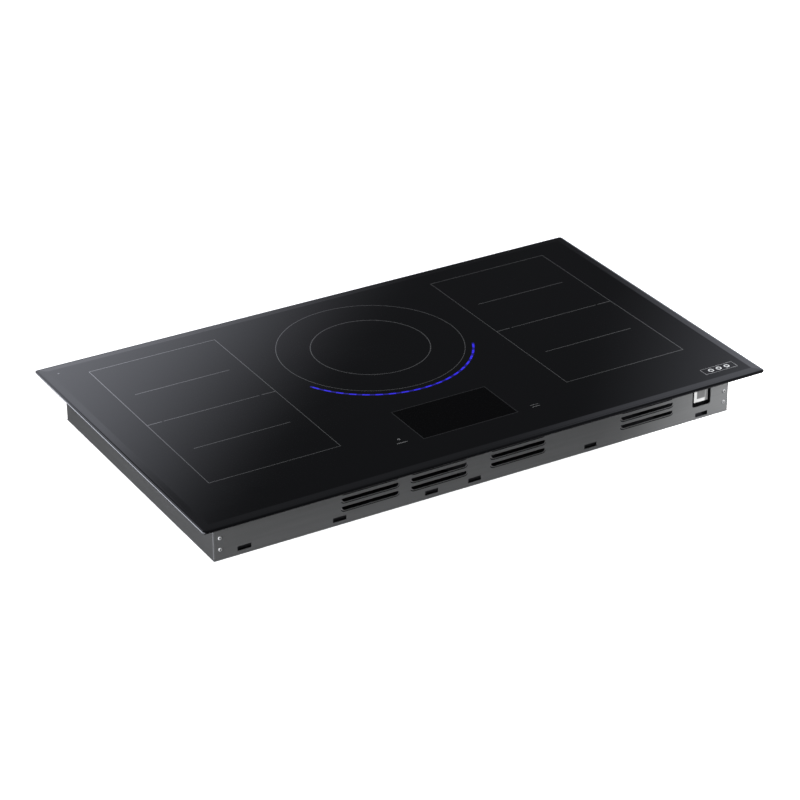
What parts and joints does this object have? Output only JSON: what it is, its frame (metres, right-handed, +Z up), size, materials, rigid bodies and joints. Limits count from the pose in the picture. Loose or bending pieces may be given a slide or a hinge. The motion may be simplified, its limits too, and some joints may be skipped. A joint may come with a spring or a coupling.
{
  "type": "electric induction cooktop",
  "caption": "Built-in electric induction cooktop: bevelled black glass plate with zone markings over a shallow vented steel chassis holding sprung coils, electronics and blowers.",
  "frame": {"origin": "middle of the glass outline, at the underside of the base cover", "axes": "+X to the right of the cook, +Y to the rear, +Z up through the glass"},
  "size_m": [0.9174, 0.5428, 0.0774],
  "materials": {
    "ceramic_glass": "polished",
    "foam_seal": "matte",
    "grey_steel": "satin",
    "zinc_steel": "satin",
    "screw_steel": "satin",
    "aluminium": "satin",
    "copper_winding": "satin",
    "pale_plastic": "matte",
    "black_plastic": "matte",
    "circuit_board": "satin",
    "light_guide": "gloss",
    "glass_print": "satin",
    "flame_light": "gloss",
    "label_stock": "matte"
  },
  "bodies": {
    "chassis": {"air_duct_left": "black_plastic", "air_duct_right": "black_plastic", "base_cover": "zinc_steel", "blower_housing_left": "black_plastic", "blower_housing_right": "black_plastic", "cable_gland": "black_plastic", "carrier_spring_centre_1": "screw_steel", "carrier_spring_centre_2": "screw_steel", "carrier_spring_centre_3": "screw_steel", "carrier_spring_left_1": "screw_steel", "carrier_spring_left_2": "screw_steel", "carrier_spring_left_3": "screw_steel", "carrier_spring_left_4": "screw_steel", "carrier_spring_right_1": "screw_steel", "carrier_spring_right_2": "screw_steel", "carrier_spring_right_3": "screw_steel", "carrier_spring_right_4": "screw_steel", "control_board": "circuit_board", "control_carrier": "black_plastic", "display_module": "black_plastic", "electronics_tray": "black_plastic", "filter_board": "circuit_board", "flame_light_board": "circuit_board", "flame_light_guide": "light_guide", "front_panel": "grey_steel", "front_screw_left_lower": "screw_steel", "front_screw_left_upper": "screw_steel", "front_screw_right_lower": "screw_steel", "front_screw_right_upper": "screw_steel", "glass_top": "ceramic_glass", "heat_sink_left": "aluminium", "heat_sink_right": "aluminium", "inverter_board_left": "circuit_board", "inverter_board_right": "circuit_board", "rear_panel": "grey_steel", "rim_seal": "foam_seal", "shield_plate": "aluminium", "side_panel_left": "grey_steel", "side_panel_right": "grey_steel", "terminal_block": "pale_plastic", "terminal_box": "zinc_steel", "terminal_cover": "zinc_steel"},
    "blower_left": {"blower_rotor_left": "pale_plastic"},
    "blower_right": {"blower_rotor_right": "pale_plastic"},
    "carrier_left": {"coil_carrier_left": "aluminium", "flex_former_left": "pale_plastic", "flex_coil_left_1": "copper_winding", "flex_coil_left_2": "copper_winding", "flex_coil_left_3": "copper_winding", "flex_coil_left_4": "copper_winding"},
    "carrier_right": {"coil_carrier_right": "aluminium", "flex_former_right": "pale_plastic", "flex_coil_right_1": "copper_winding", "flex_coil_right_2": "copper_winding", "flex_coil_right_3": "copper_winding", "flex_coil_right_4": "copper_winding"},
    "carrier_centre": {"coil_carrier_centre": "aluminium", "centre_former": "pale_plastic", "centre_coil_inner": "copper_winding", "centre_coil_outer": "copper_winding"}
  },
  "joints": [
    {"name": "blower_spin_left", "type": "hinge", "parent": "chassis", "child": "blower_left", "pos_m": [-0.127, 0.11, 0.021], "axis": [0, 0, 1], "continuous": true},
    {"name": "blower_spin_right", "type": "hinge", "parent": "chassis", "child": "blower_right", "pos_m": [0.23, 0.11, 0.021], "axis": [0, 0, 1], "continuous": true},
    {"name": "carrier_float_left", "type": "slide", "parent": "chassis", "child": "carrier_left", "axis": [0, 0, -1], "range_m": [0, 0.003], "stiffness_N_per_m": 8000, "springref_m": -0.006, "deforming": ["carrier_spring_left_1", "carrier_spring_left_2", "carrier_spring_left_3", "carrier_spring_left_4"]},
    {"name": "carrier_float_centre", "type": "slide", "parent": "chassis", "child": "carrier_centre", "axis": [0, 0, -1], "range_m": [0, 0.003], "stiffness_N_per_m": 8000, "springref_m": -0.006, "deforming": ["carrier_spring_centre_1", "carrier_spring_centre_2", "carrier_spring_centre_3"]},
    {"name": "carrier_float_right", "type": "slide", "parent": "chassis", "child": "carrier_right", "axis": [0, 0, -1], "range_m": [0, 0.003], "stiffness_N_per_m": 8000, "springref_m": -0.006, "deforming": ["carrier_spring_right_1", "carrier_spring_right_2", "carrier_spring_right_3", "carrier_spring_right_4"]}
  ]
}
